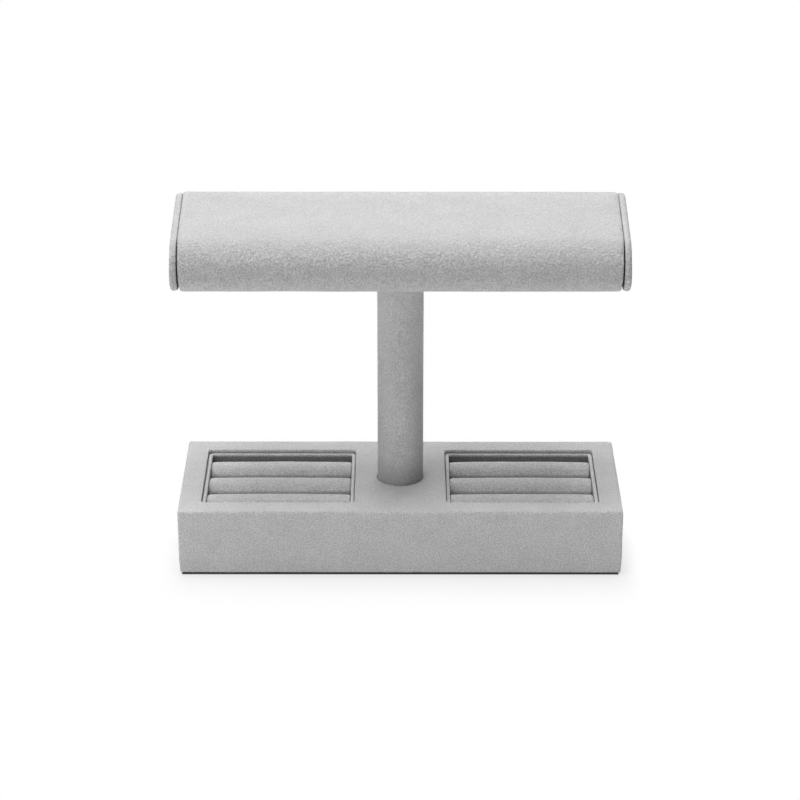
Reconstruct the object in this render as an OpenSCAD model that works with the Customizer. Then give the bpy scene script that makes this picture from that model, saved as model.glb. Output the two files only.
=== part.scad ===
// Display stand for bracelets: a padded bar on a post, over a base with two
// lift-out trays of ring rolls. Millimetres, +Z up, front towards -Y.
// The origin is the middle of the face that the base stands on.

/* [Base] */
// Width of the base over its fabric
base_w = 200; // [160:1:260]
// Depth of the base over its fabric
base_d = 76; // [62:1:110]
// Height of the base above the face it stands on
base_h = 32; // [27:0.5:45]
// Rounding of the wrapped edges of the base
base_edge_r = 1.5; // [1:0.1:2.5]
// Thickness of the dark sheet under the base
sheet_t = 1.5; // [0.8:0.1:3]
// Distance of the sheet's edge from the wrapped sides
sheet_inset = 1.2; // [0.5:0.1:4]
// Thickness of the bottom board
board_t = 5; // [4:0.5:8]
// Width of the fabric turned in under the base
turn_in_w = 9; // [6:0.5:14]
// Thickness of the fabric on the base, the post and the bar
wrap_t = 0.7; // [0.5:0.1:0.9]

/* [Wells] */
// Width of the base's top beside a well, at the outer side
side_margin = 10; // [6:0.1:20]
// Width of the base's top in front of a well and behind it
front_margin = 10.2; // [6:0.1:16]
// Distance between the two wells
centre_w = 41.5; // [34:0.5:60]
// Width of the fold where the fabric turns down into a well
well_fold = 0.7; // [0.3:0.1:1]

/* [Post] */
// Diameter of the post over its fabric
post_d = 20.8; // [17:0.2:28]
// Gap round the post where it passes through fabric or into the base
post_gap = 0.2; // [0.1:0.05:0.4]
// Gap round the bare post in the bar's socket
socket_gap = 0.05; // [0.02:0.01:0.1]
// Wood left between the post's foot and the washer
web_t = 4.5; // [3:0.5:7]

/* [Bar] */
// Length of the bar over its end caps
bar_len = 201; // [150:0.5:300]
// Depth of the bar, nose to nose
bar_depth = 60.8; // [48:0.2:80]
// Thickness of the bar
bar_h = 25.6; // [23:0.2:34]
// Angle by which the bar leans down towards the front
bar_tilt = 11; // [0:1:18]
// Height of the bar's middle above the face the base stands on
bar_z = 147.2; // [100:0.2:220]
// Thickness of the padding round the bar's core
pad_t = 3; // [1.5:0.5:4]
// How far the padding is drawn in at the ends of the bar
draw_in = 0.7; // [0.2:0.1:1]
// Length over which the padding is drawn in
draw_len = 3; // [2:0.5:6]
// Thickness of an end cap
cap_t = 3; // [2:0.1:5]
// How much smaller an end cap is than the bar, all round
cap_inset = 0.45; // [0.2:0.05:1]
// Rounding of the outer edge of an end cap
cap_edge_r = 1.2; // [0.5:0.1:1.6]
// Width of the dark seam beside an end cap
seam_gap = 0.2; // [0.1:0.05:0.5]
// Depth of the post's top under the middle of the bar
post_seat = 4; // [3:0.5:5]

/* [Tie rod] */
// Diameter of the rod
rod_d = 6; // [5:0.5:8]
// Gap round the rod in the wood
rod_gap = 0.2; // [0.1:0.05:0.4]
// Gap in the thread, nut to rod and sleeve to rod
thread_gap = 0.05; // [0.02:0.01:0.1]
// Wall of the nut across its flats
nut_wall = 2; // [1.5:0.25:3]
// Height of the nut
nut_h = 5; // [4:0.5:7]
// Width of the washer's ring
washer_ring = 4; // [3:0.5:6]
// Thickness of the washer
washer_t = 1; // [0.8:0.1:2]
// Length of rod that stands out of the nut
rod_tail = 1.5; // [1:0.5:3]
// Space between the rod's end and the bottom sheet
tail_gap = 1.5; // [0.5:0.5:2]
// Gap round the washer in its recess
recess_gap = 1; // [0.5:0.25:2]
// Wall of the threaded sleeve in the bar
insert_wall = 1.5; // [1:0.25:3]
// Length of the threaded sleeve
insert_len = 9; // [6:0.5:9.5]

/* [Trays] */
// Gap between a tray and the lining of its well
tray_gap = 0.4; // [0.2:0.05:0.8]
// Distance of a tray's rim below the top of the base
rim_drop = 1.5; // [0.5:0.1:4]
// Thickness of the tray's card walls
card_t = 0.7; // [0.5:0.1:2]
// Thickness of the tray's card floor
tray_floor_t = 1.5; // [1:0.1:3]
// Thickness of the fabric on the trays and the rolls
thin_wrap_t = 0.35; // [0.3:0.05:0.8]
// Thickness of the card under the rolls
pad_board_t = 2; // [1:0.5:3]

/* [Rolls] */
// Distance from a tray's rim down to the top of the rolls
roll_drop = 0.5; // [0.2:0.1:5]
// Gap round each roll
roll_gap = 0.3; // [0.2:0.05:0.5]
// Height over which the sides of a roll round into its top
roll_shoulder = 7.5; // [4:0.5:9]
// How much lower a roll is at its ends than in its middle
roll_crown = 0.6; // [0.2:0.1:1]
// How much narrower a roll is at its foot, each side
roll_foot_in = 0.3; // [0:0.1:0.5]
// Rounding of a roll's ends
roll_end_r = 1.2; // [0.8:0.1:1.4]

/* [Hidden] */

left = -1;
right = 1;
front = -1;
back = 1;
// Rolls in one tray, from the back to the front
roll_count = 3;
// Sides of the small round edges, and of what must be truly round
edge_fn = 32;
round_fn = 64;
// Steps round one nose of the bar, over one half turn
nose_steps = 24;
// Steps over the rounded top of a roll
top_steps = 14;
// Steps along a rounded or drawn-in end
end_steps = 4;
// Flatness of a roll's top: 2 is an ellipse, more is flatter
roll_power = 2.1;
// Extra length of a cut past the face it opens
past = 1;

// Heights in the base
floor_z = sheet_t + board_t;
deck_z = base_h - wrap_t;
washer_z = sheet_t + tail_gap + rod_tail + nut_h;
seat_z = washer_z + washer_t;
socket_z = seat_z + web_t;
rim_z = base_h - rim_drop;

// Plan of the base
carcass_w = base_w - 2 * wrap_t;
carcass_d = base_d - 2 * wrap_t;
carcass_edge_r = max(base_edge_r - wrap_t, 0.2);
well_w = (base_w - centre_w) / 2 - side_margin;
well_d = base_d - 2 * front_margin;
well_x = (centre_w + well_w) / 2;
lined_w = well_w + 2 * wrap_t;
lined_d = well_d + 2 * wrap_t;
side_rail_x = well_x + lined_w / 2;
block_w = centre_w - 2 * wrap_t;

// Tie rod
rod_bottom = washer_z - nut_h - rod_tail;
nut_af = rod_d + 2 * nut_wall;
washer_d = rod_d + 2 * rod_gap + 2 * washer_ring;
recess_d = washer_d + 2 * recess_gap;
insert_d = rod_d + 2 * thread_gap + 2 * insert_wall;
rod_hole_d = rod_d + 2 * rod_gap;
thread_d = rod_d + 2 * thread_gap;

// Post and bar
post_core_d = post_d - 2 * wrap_t;
post_top = bar_z - post_seat;
insert_top = post_top + insert_len;
bar_r = bar_h / 2;
bar_flat = bar_depth - bar_h;
core_r = bar_r - wrap_t - pad_t;
cap_r = bar_r - cap_inset;
cap_x = bar_len / 2 - cap_t;
wrap_x = cap_x - seam_gap;

// Trays
tray_w = well_w - 2 * tray_gap;
tray_d = well_d - 2 * tray_gap;
box_w = tray_w - 2 * thin_wrap_t;
box_d = tray_d - 2 * thin_wrap_t;
tray_wall = card_t + 2 * thin_wrap_t;
inner_w = tray_w - 2 * tray_wall;
inner_d = tray_d - 2 * tray_wall;
pad_floor_z = floor_z + tray_floor_t;
roll_z = pad_floor_z + pad_board_t;
roll_h = rim_z - roll_drop - roll_z;
roll_len = inner_w - 2 * roll_gap;
roll_w = (inner_d - (roll_count + 1) * roll_gap) / roll_count;
roll_pitch = roll_w + roll_gap;

fabric_colour = [0.72, 0.72, 0.72];
deep_fabric_colour = [0.66, 0.66, 0.66];
dark_colour = [0.12, 0.12, 0.12];
board_colour = [0.62, 0.50, 0.38];
wood_colour = [0.78, 0.64, 0.46];
foam_colour = [0.93, 0.92, 0.86];
card_colour = [0.45, 0.45, 0.46];
steel_colour = [0.62, 0.64, 0.66];

// Block with rounded upright corners and rounded top edges, on height z0
module soft_block(w, d, z0, z1, r) {
    hull() {
        for (sx = [left, right], sy = [front, back]) {
            translate([sx * (w / 2 - r), sy * (d / 2 - r), z0])
                cylinder(r = r, h = (z1 - z0) / 2, $fn = edge_fn);
            translate([sx * (w / 2 - r), sy * (d / 2 - r), z1 - r])
                sphere(r = r, $fn = edge_fn);
        }
    }
}

// Box that stands on height z0, centred on x and y
module box(w, d, z0, z1, x = 0, y = 0) {
    translate([x - w / 2, y - d / 2, z0])
        cube([w, d, z1 - z0]);
}

// Upright cylinder between two heights
module pillar(d, z0, z1) {
    translate([0, 0, z0])
        cylinder(d = d, h = z1 - z0, $fn = round_fn);
}

// Upright tube between two heights
module tube(outer_d, inner_d, z0, z1) {
    difference() {
        pillar(outer_d, z0, z1);
        pillar(inner_d, z0 - past, z1 + past);
    }
}

module bottom_sheet() {
    color(dark_colour)
        box(base_w - 2 * sheet_inset, base_d - 2 * sheet_inset, 0, sheet_t);
}

// Space that all the boards of the base fill together
module carcass_form() {
    soft_block(carcass_w, carcass_d, sheet_t, deck_z, carcass_edge_r);
}

// Room of the fabric that is turned in under the base
module turn_in() {
    difference() {
        box(base_w, base_d, sheet_t - past, sheet_t + wrap_t);
        box(base_w - 2 * turn_in_w, base_d - 2 * turn_in_w, sheet_t - 2 * past, floor_z);
    }
}

module bottom_board() {
    color(board_colour)
        difference() {
            intersection() {
                carcass_form();
                box(base_w, base_d, sheet_t, floor_z);
            }
            turn_in();
            pillar(recess_d, sheet_t - past, floor_z + past);
        }
}

// Rail along the front or the back, as long as the base
module long_rail(side) {
    color(board_colour)
        intersection() {
            carcass_form();
            box(base_w, base_d / 2, floor_z, base_h, 0, side * (lined_d / 2 + base_d / 4));
        }
}

// Rail at the left or the right end, between the two long ones
module side_rail(side) {
    color(board_colour)
        intersection() {
            carcass_form();
            box(base_w / 2, lined_d, floor_z, base_h, side * (side_rail_x + base_w / 4), 0);
        }
}

module centre_block() {
    color(board_colour)
        difference() {
            box(block_w, lined_d, floor_z, deck_z);
            pillar(post_d + 2 * post_gap, socket_z, deck_z + past);
            pillar(rod_hole_d, floor_z, socket_z + past);
            pillar(recess_d, floor_z - past, seat_z);
        }
}

// Room of one well, widened at its mouth by the fold of the fabric
module well_room(side) {
    box(well_w, well_d, floor_z - past, base_h + past, side * well_x, 0);
    hull() {
        box(well_w, well_d, deck_z - well_fold, base_h - well_fold, side * well_x, 0);
        box(well_w + 2 * well_fold, well_d + 2 * well_fold, base_h, base_h + past, side * well_x, 0);
    }
}

// Fabric over the sides and the top, down into the wells and in under the edge
module base_wrap() {
    color(fabric_colour)
        difference() {
            soft_block(base_w, base_d, sheet_t, base_h, base_edge_r);
            difference() {
                carcass_form();
                turn_in();
                for (side = [left, right])
                    box(lined_w, lined_d, floor_z, base_h, side * well_x, 0);
            }
            box(base_w - 2 * turn_in_w, base_d - 2 * turn_in_w, sheet_t - past, floor_z);
            for (side = [left, right])
                well_room(side);
            pillar(post_d + 2 * post_gap, deck_z - past, base_h + past);
        }
}

module post_core() {
    color(wood_colour)
        tube(post_core_d, rod_hole_d, socket_z, post_top);
}

// Fabric tube of the post, cut off along the underside of the bar's core
module post_sleeve() {
    color(fabric_colour)
        difference() {
            tube(post_d, post_core_d, socket_z, bar_z);
            at_bar()
                section_bar(core_r, 2 * cap_x);
        }
}

module tie_rod() {
    color(steel_colour)
        pillar(rod_d, rod_bottom, insert_top - rod_tail);
}

module tie_washer() {
    color(steel_colour)
        tube(washer_d, rod_hole_d, washer_z, seat_z);
}

module tie_nut() {
    color(steel_colour)
        difference() {
            translate([0, 0, washer_z - nut_h])
                cylinder(d = nut_af / cos(30), h = nut_h, $fn = 6);
            pillar(thread_d, washer_z - nut_h - past, washer_z + past);
        }
}

module bar_insert() {
    color(steel_colour)
        tube(insert_d, thread_d, post_top, insert_top);
}

// Takes what lies along X round the origin to the bar's place and lean
module at_bar() {
    translate([0, 0, bar_z])
        rotate([bar_tilt, 0, 0])
            children();
}

// Straight bar of the bar's section with nose radius r, flat above and below
module section_bar(r, length, x = 0) {
    translate([x - length / 2, 0, 0])
        rotate([90, 0, 90])
            linear_extrude(height = length)
                union() {
                    square([bar_flat, 2 * r], center = true);
                    for (side = [front, back])
                        translate([side * bar_flat / 2, 0])
                            circle(r = r, $fn = round_fn);
                }
}

// Points of the bar's section with nose radius r, at one x
function section_ring(x, r) = [
    for (side = [back, front], i = [0:nose_steps])
        let (a = 180 * i / nose_steps - 90)
        [x, side * (bar_flat / 2 + r * cos(a)), side * r * sin(a)]
];

// Solid through rings of equally many points, first ring at the lowest x
module loft(rings) {
    n = len(rings[0]);
    last = len(rings) - 1;
    polyhedron(
        points = [for (ring = rings, p = ring) p],
        faces = concat(
            [[for (i = [0:n - 1]) i]],
            [[for (i = [0:n - 1]) last * n + n - 1 - i]],
            [for (k = [0:last - 1], i = [0:n - 1])
                [k * n + i, (k + 1) * n + i, k * n + (i + 1) % n]],
            [for (k = [0:last - 1], i = [0:n - 1])
                [k * n + (i + 1) % n, (k + 1) * n + i, (k + 1) * n + (i + 1) % n]]));
}

// Inset of a quarter ellipse at step i, from depth at the very end to none
function drawn(i, depth) = depth * (1 - sin(90 * i / end_steps));
function along(i, reach) = reach * (1 - cos(90 * i / end_steps));

// Padded bar, drawn in at its two ends, shrunk by inset
module padded_form(inset) {
    r = bar_r - inset;
    low_end = [for (i = [0:end_steps])
        section_ring(-wrap_x + along(i, draw_len), r - drawn(i, draw_in))];
    high_end = [for (i = [end_steps:-1:0])
        section_ring(wrap_x - along(i, draw_len), r - drawn(i, draw_in))];
    loft(concat(low_end, high_end));
}

module bar_core() {
    color(wood_colour)
        difference() {
            at_bar()
                section_bar(core_r, 2 * cap_x);
            pillar(post_core_d + 2 * socket_gap, bar_z - bar_h, post_top);
            pillar(insert_d, post_top - past, insert_top);
        }
}

module bar_foam() {
    color(foam_colour)
        difference() {
            at_bar()
                padded_form(wrap_t);
            at_bar()
                section_bar(core_r, bar_len);
            pillar(post_d + 2 * post_gap, bar_z - bar_depth, bar_z);
        }
}

module bar_wrap() {
    color(fabric_colour)
        difference() {
            at_bar()
                padded_form(0);
            at_bar()
                padded_form(wrap_t);
            at_bar()
                section_bar(core_r, bar_len);
            pillar(post_d + 2 * post_gap, bar_z - bar_depth, bar_z);
        }
}

// Board of an end cap, glued to the end of the core
module end_board(side) {
    color(board_colour)
        at_bar()
            section_bar(cap_r - wrap_t, cap_t - wrap_t, side * (cap_x + (cap_t - wrap_t) / 2));
}

// Fabric over the outer face and the rim of an end board
module end_wrap(side) {
    color(fabric_colour)
        at_bar()
            difference() {
                mirror([side == left ? 1 : 0, 0, 0])
                    loft(concat(
                        [section_ring(cap_x, cap_r)],
                        [for (i = [end_steps:-1:0])
                            section_ring(cap_x + cap_t - along(i, cap_edge_r),
                                         cap_r - drawn(i, cap_edge_r))]));
                section_bar(cap_r - wrap_t, 2 * (cap_t - wrap_t), side * cap_x);
            }
}

module tray_box(side) {
    color(card_colour)
        difference() {
            box(box_w, box_d, floor_z, rim_z - thin_wrap_t, side * well_x, 0);
            box(box_w - 2 * card_t, box_d - 2 * card_t, pad_floor_z, rim_z, side * well_x, 0);
        }
}

// Half-round rim of a tray, on the middle of its four walls
module tray_rim() {
    rim_r = tray_wall / 2;
    run_w = tray_w - tray_wall;
    run_d = tray_d - tray_wall;
    for (sx = [left, right], sy = [front, back])
        translate([sx * run_w / 2, sy * run_d / 2, 0])
            sphere(r = rim_r, $fn = edge_fn);
    for (sy = [front, back])
        translate([-run_w / 2, sy * run_d / 2, 0])
            rotate([0, 90, 0])
                cylinder(r = rim_r, h = run_w, $fn = edge_fn);
    for (sx = [left, right])
        translate([sx * run_w / 2, run_d / 2, 0])
            rotate([90, 0, 0])
                cylinder(r = rim_r, h = run_d, $fn = edge_fn);
}

// Room that the walls and the floor of the tray box take
module tray_box_room() {
    difference() {
        box(box_w, box_d, floor_z - past, rim_z - thin_wrap_t);
        box(box_w - 2 * card_t, box_d - 2 * card_t, pad_floor_z, rim_z);
    }
}

// Fabric over the walls of the tray box, inside and outside, with a rounded rim
module tray_cover(side) {
    wall_top = rim_z - tray_wall / 2;
    color(fabric_colour)
        translate([side * well_x, 0, 0])
            difference() {
                union() {
                    difference() {
                        box(tray_w, tray_d, floor_z, wall_top);
                        box(inner_w, inner_d, pad_floor_z, rim_z);
                    }
                    translate([0, 0, wall_top])
                        tray_rim();
                }
                tray_box_room();
            }
}

module pad_board(side) {
    color(card_colour)
        box(roll_len, inner_d - 2 * roll_gap, pad_floor_z, roll_z, side * well_x, 0);
}

// Power of a sine or cosine that keeps its sign
function bent(v) = sign(v) * pow(abs(v), 2 / roll_power);

// Section of a roll as [y, z], shrunk by inset, with its top lowered by drop
function roll_section(inset, drop) = concat(
    [[-roll_w / 2 + roll_foot_in + inset, inset], [roll_w / 2 - roll_foot_in - inset, inset]],
    [for (i = [0:top_steps])
        let (a = 180 * i / top_steps)
        [(roll_w / 2 - inset) * bent(cos(a)),
         roll_h - roll_shoulder - drop + (roll_shoulder - inset) * bent(sin(a))]]
);

// The same section as a ring of points at one x
function roll_ring(x, inset, drop) = [for (p = roll_section(inset, drop)) [x, p[0], p[1]]];

// Takes what is drawn round the foot of a roll to its place in a tray
module at_roll(side, number) {
    translate([side * well_x, ((roll_count + 1) / 2 - number) * roll_pitch, roll_z])
        children();
}

module foam_form() {
    translate([-roll_len / 2 + thin_wrap_t, 0, 0])
        rotate([90, 0, 90])
            linear_extrude(height = roll_len - 2 * thin_wrap_t)
                polygon(roll_section(thin_wrap_t, roll_crown));
}

// Half of the rings of a roll, from its end to its crowned middle
function roll_end_rings(side) = [
    for (i = [0:end_steps])
        roll_ring(side * (roll_len / 2 - along(i, roll_end_r)), drawn(i, roll_end_r / 2), roll_crown)
];
function crown_ring(share) = roll_ring(share * roll_len / 2, 0, roll_crown * share * share);

module roll_foam(side, number) {
    color(foam_colour)
        at_roll(side, number)
            foam_form();
}

// Fabric of one roll, crowned along its length and drawn in at its ends
module roll(side, number) {
    high_end = roll_end_rings(right);
    color(deep_fabric_colour)
        at_roll(side, number)
            difference() {
                loft(concat(
                    roll_end_rings(left),
                    [for (share = [-0.6, -0.3, 0, 0.3, 0.6]) crown_ring(share)],
                    [for (i = [end_steps:-1:0]) high_end[i]]));
                foam_form();
            }
}

bottom_sheet();
bottom_board();
long_rail(front);  // front_rail
long_rail(back);  // back_rail
side_rail(left);  // left_rail
side_rail(right);  // right_rail
centre_block();
base_wrap();
post_core();
post_sleeve();
tie_rod();
tie_washer();
tie_nut();
bar_insert();
bar_core();
bar_foam();
bar_wrap();
end_board(left);  // left_end_board
end_board(right);  // right_end_board
end_wrap(left);  // left_end_wrap
end_wrap(right);  // right_end_wrap
tray_box(left);  // left_tray_box
tray_cover(left);  // left_tray_cover
pad_board(left);  // left_pad_board
roll_foam(left, 1);  // left_roll_foam_1
roll_foam(left, 2);  // left_roll_foam_2
roll_foam(left, 3);  // left_roll_foam_3
roll(left, 1);  // left_roll_1
roll(left, 2);  // left_roll_2
roll(left, 3);  // left_roll_3
tray_box(right);  // right_tray_box
tray_cover(right);  // right_tray_cover
pad_board(right);  // right_pad_board
roll_foam(right, 1);  // right_roll_foam_1
roll_foam(right, 2);  // right_roll_foam_2
roll_foam(right, 3);  // right_roll_foam_3
roll(right, 1);  // right_roll_1
roll(right, 2);  // right_roll_2
roll(right, 3);  // right_roll_3
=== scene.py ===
"""Looks of the bracelet display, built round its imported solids.
Shapes are worked out in millimetres and turned into metres when a mesh is made."""

import math

import bmesh
import bpy
from mathutils import Matrix, Vector, noise


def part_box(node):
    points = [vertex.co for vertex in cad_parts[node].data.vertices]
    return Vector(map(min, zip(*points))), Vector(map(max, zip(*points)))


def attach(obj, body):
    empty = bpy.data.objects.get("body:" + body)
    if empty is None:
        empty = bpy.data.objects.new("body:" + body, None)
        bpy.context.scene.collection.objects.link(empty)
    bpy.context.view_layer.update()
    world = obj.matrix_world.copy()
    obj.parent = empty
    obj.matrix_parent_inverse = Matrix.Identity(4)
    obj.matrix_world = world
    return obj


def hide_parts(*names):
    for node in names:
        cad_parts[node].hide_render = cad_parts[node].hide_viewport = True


MM = 0.001
LEFT, RIGHT = "left", "right"
SIDES = (LEFT, RIGHT)
TAU = 2 * math.pi

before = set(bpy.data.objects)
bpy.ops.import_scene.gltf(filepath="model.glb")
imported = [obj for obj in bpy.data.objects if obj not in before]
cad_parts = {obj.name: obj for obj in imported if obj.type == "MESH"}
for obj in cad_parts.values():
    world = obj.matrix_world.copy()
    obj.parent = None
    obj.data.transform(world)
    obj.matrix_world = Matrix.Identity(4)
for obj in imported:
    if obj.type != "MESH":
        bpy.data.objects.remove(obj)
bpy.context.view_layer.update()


def box_mm(node):
    """Lowest and highest corner of a solid, in millimetres."""
    low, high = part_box(node)
    return low / MM, high / MM


# Sizes as in the part's source. The bar: its lean, the height of its middle, the radius of
# its noses, the width of its flats and the radius of its core
BAR_TILT = math.radians(11)
BAR_MIDDLE = 147.2
BAR_R = 12.8
BAR_FLAT = 35.2
BAR_CORE_R = 9.1
# Nose radius and thickness of an end cap
CAP_R = 12.35
CAP_T = 3.0
# The hole round the post, a tray's room in its well and the thickness of its walls
POST_HOLE_R = 10.6
TRAY_GAP = 0.4
TRAY_WALL = 1.4


# Mesh helpers


def ripple(x, y, z, size, seed):
    """Smooth noise from -1 to 1 with features of this size, the same on every run."""
    return noise.noise(Vector((x / size + seed, y / size - seed, z / size + 2 * seed)))


def linked(name, mesh):
    """Smoothly shaded object with this mesh, in the scene."""
    mesh.polygons.foreach_set("use_smooth", [True] * len(mesh.polygons))
    piece = bpy.data.objects.new(name, mesh)
    bpy.context.scene.collection.objects.link(piece)
    return piece


def mesh_piece(name, points, faces):
    """Object from points in millimetres, with its faces turned outwards."""
    mesh = bpy.data.meshes.new(name)
    mesh.from_pydata([(x * MM, y * MM, z * MM) for x, y, z in points], [], faces)
    bm = bmesh.new()
    bm.from_mesh(mesh)
    bmesh.ops.recalc_face_normals(bm, faces=bm.faces)
    bm.to_mesh(mesh)
    bm.free()
    return linked(name, mesh)


def ring_faces(rings, points):
    """Quads between rings of equally many points, each ring closed on itself."""
    faces = []
    for ring in range(rings - 1):
        for i in range(points):
            a = ring * points + i
            b = ring * points + (i + 1) % points
            faces.append((a, b, b + points, a + points))
    return faces


def clipped(value):
    """The value, kept between 0 and 1."""
    return min(max(value, 0), 1)


def even_lines(marks, step):
    """Grid lines through all the marks, with even ones between them, at most step apart."""
    marks = sorted(marks)
    lines = [marks[0]]
    for low, high in zip(marks, marks[1:]):
        count = max(1, math.ceil((high - low) / step - 1e-6))
        lines += [low + (high - low) * k / count for k in range(1, count + 1)]
    return lines


def bevel(bm, edges, size, segments):
    """Rounds edges to about this radius."""
    bmesh.ops.bevel(bm, geom=[e for e in edges if e.is_valid], offset=size,
                    offset_type="OFFSET", segments=segments, profile=0.5, affect="EDGES",
                    clamp_overlap=False)


def thicken(piece, thickness):
    """Gives a skin its thickness, on its inner side."""
    solid = piece.modifiers.new("skin", "SOLIDIFY")
    solid.thickness = thickness * MM
    solid.offset = -1
    solid.use_even_offset = False


def place(piece, body, slot, material, *nodes):
    """Material, CAD body and the solids that a piece stands for. The slot is not used."""
    piece.data.materials.append(material)
    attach(piece, body)
    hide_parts(*nodes)


# The cloth solver doesn't work well at the real size, so it gets a larger copy
SWELL_SCALE = 10
SWELL_FRAMES = 20
# Least share by which the padding holds each point of a cover, or a long one turns round
PADDING_HOLD = 0.28


def swell(piece, freedom, pressure, cap):
    """Blows a closed cover up as cloth over its padding. freedom, from 0 to 1 for each
    point, says how much of cap, in millimetres, a point may move."""
    big = piece.copy()
    big.data = piece.data.copy()
    big.data.transform(Matrix.Scale(SWELL_SCALE, 4))
    bpy.context.scene.collection.objects.link(big)
    held = big.vertex_groups.new(name="held")
    for i, free in enumerate(freedom):
        held.add([i], max(1 - free, PADDING_HOLD), "REPLACE")
    cloth = big.modifiers.new("cloth", "CLOTH")
    settings = cloth.settings
    settings.quality = 6
    settings.mass = 0.3
    settings.tension_stiffness = 12
    settings.compression_stiffness = 12
    settings.shear_stiffness = 6
    settings.bending_stiffness = 0.4
    settings.use_pressure = True
    settings.uniform_pressure_force = pressure
    settings.effector_weights.gravity = 0
    settings.vertex_group_mass = "held"
    cloth.collision_settings.use_collision = False
    cloth.point_cache.frame_start = 1
    cloth.point_cache.frame_end = SWELL_FRAMES
    scene = bpy.context.scene
    for step in range(1, SWELL_FRAMES + 1):
        scene.frame_set(step)
    swollen = big.evaluated_get(bpy.context.evaluated_depsgraph_get()).data
    limit = cap * MM
    for vertex, blown, free in zip(piece.data.vertices, swollen.vertices, freedom):
        move = blown.co / SWELL_SCALE - vertex.co
        if move.length > limit * free:
            move = move * (limit * free / max(move.length, 1e-12))
        vertex.co += move
    piece.data.update()
    scene.frame_set(1)
    bpy.data.objects.remove(big)


# Materials


def node_material(name):
    """New material with its node tree and its shader."""
    material = bpy.data.materials.new(name)
    material.use_nodes = True
    return material, material.node_tree, material.node_tree.nodes["Principled BSDF"]


def noise_field(tree, scale, detail, stretch=(1, 1, 1), roughness=0.5):
    """Noise over the object's own coordinates, scale in features per metre."""
    coords = tree.nodes.new("ShaderNodeTexCoord")
    mapping = tree.nodes.new("ShaderNodeMapping")
    mapping.inputs["Scale"].default_value = stretch
    tree.links.new(coords.outputs["Object"], mapping.inputs["Vector"])
    field = tree.nodes.new("ShaderNodeTexNoise")
    field.inputs["Scale"].default_value = scale
    field.inputs["Detail"].default_value = detail
    field.inputs["Roughness"].default_value = roughness
    tree.links.new(mapping.outputs["Vector"], field.inputs["Vector"])
    return field.outputs["Fac"]


def calc(tree, operation, *values):
    """One step of arithmetic on sockets and numbers."""
    step = tree.nodes.new("ShaderNodeMath")
    step.operation = operation
    for socket, value in zip(step.inputs, values):
        if isinstance(value, (int, float)):
            socket.default_value = value
        else:
            tree.links.new(value, socket)
    return step.outputs[0]


def weighted(tree, fields):
    """Sum of (socket, weight) pairs, each field counted from its middle value, plus 0.5."""
    total = 0.5 - sum(weight for _, weight in fields) / 2
    for socket, weight in fields:
        total = calc(tree, "MULTIPLY_ADD", socket, weight, total)
    return total


def ramp(tree, socket, spread, results):
    """Goes from results[0] to results[1] as the socket goes from spread[0] to spread[1]."""
    field = tree.nodes.new("ShaderNodeMapRange")
    for name, value in zip(("From Min", "From Max", "To Min", "To Max"), (*spread, *results)):
        field.inputs[name].default_value = value
    tree.links.new(socket, field.inputs["Value"])
    return field.outputs["Result"]


def parts_of(tree, output):
    """The three parts of the object's own coordinates ("Object") or of its "Normal"."""
    coords = tree.nodes.new("ShaderNodeTexCoord")
    parts = tree.nodes.new("ShaderNodeSeparateXYZ")
    tree.links.new(coords.outputs[output], parts.inputs[0])
    return parts.outputs


def painted_depth_shade(tree, low, high, least, area):
    """Painted shade as a factor on the colour: 1 at the upper height and least from the lower
    one down, inside an area on each side of the middle: how far out it is, half its width
    and half its depth."""
    x, y, z = parts_of(tree, "Object")
    out, half_w, half_d = area
    from_area = calc(tree, "ABSOLUTE", calc(tree, "SUBTRACT", calc(tree, "ABSOLUTE", x), out))
    inside = calc(tree, "MULTIPLY", calc(tree, "LESS_THAN", from_area, half_w),
                  calc(tree, "LESS_THAN", calc(tree, "ABSOLUTE", y), half_d))
    lost = ramp(tree, z, (low, high), (1 - least, 0))
    return calc(tree, "SUBTRACT", 1, calc(tree, "MULTIPLY", lost, inside))


def shades_of(tree, factor, colour, low, high, target):
    """Goes from low to high times a colour by a factor, into a colour socket."""
    mix = tree.nodes.new("ShaderNodeMix")
    mix.data_type = "RGBA"
    tree.links.new(factor, mix.inputs["Factor"])
    for name, times in (("A", low), ("B", high)):
        mix.inputs[name].default_value = (*(min(c * times, 1) for c in colour), 1)
    tree.links.new(mix.outputs["Result"], target)


def bump(tree, shader, height, strength, distance):
    """Relief of a shader from a height field, distance in metres."""
    relief = tree.nodes.new("ShaderNodeBump")
    relief.inputs["Strength"].default_value = strength
    relief.inputs["Distance"].default_value = distance
    tree.links.new(height, relief.inputs["Height"])
    tree.links.new(relief.outputs["Normal"], shader.inputs["Normal"])


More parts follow.
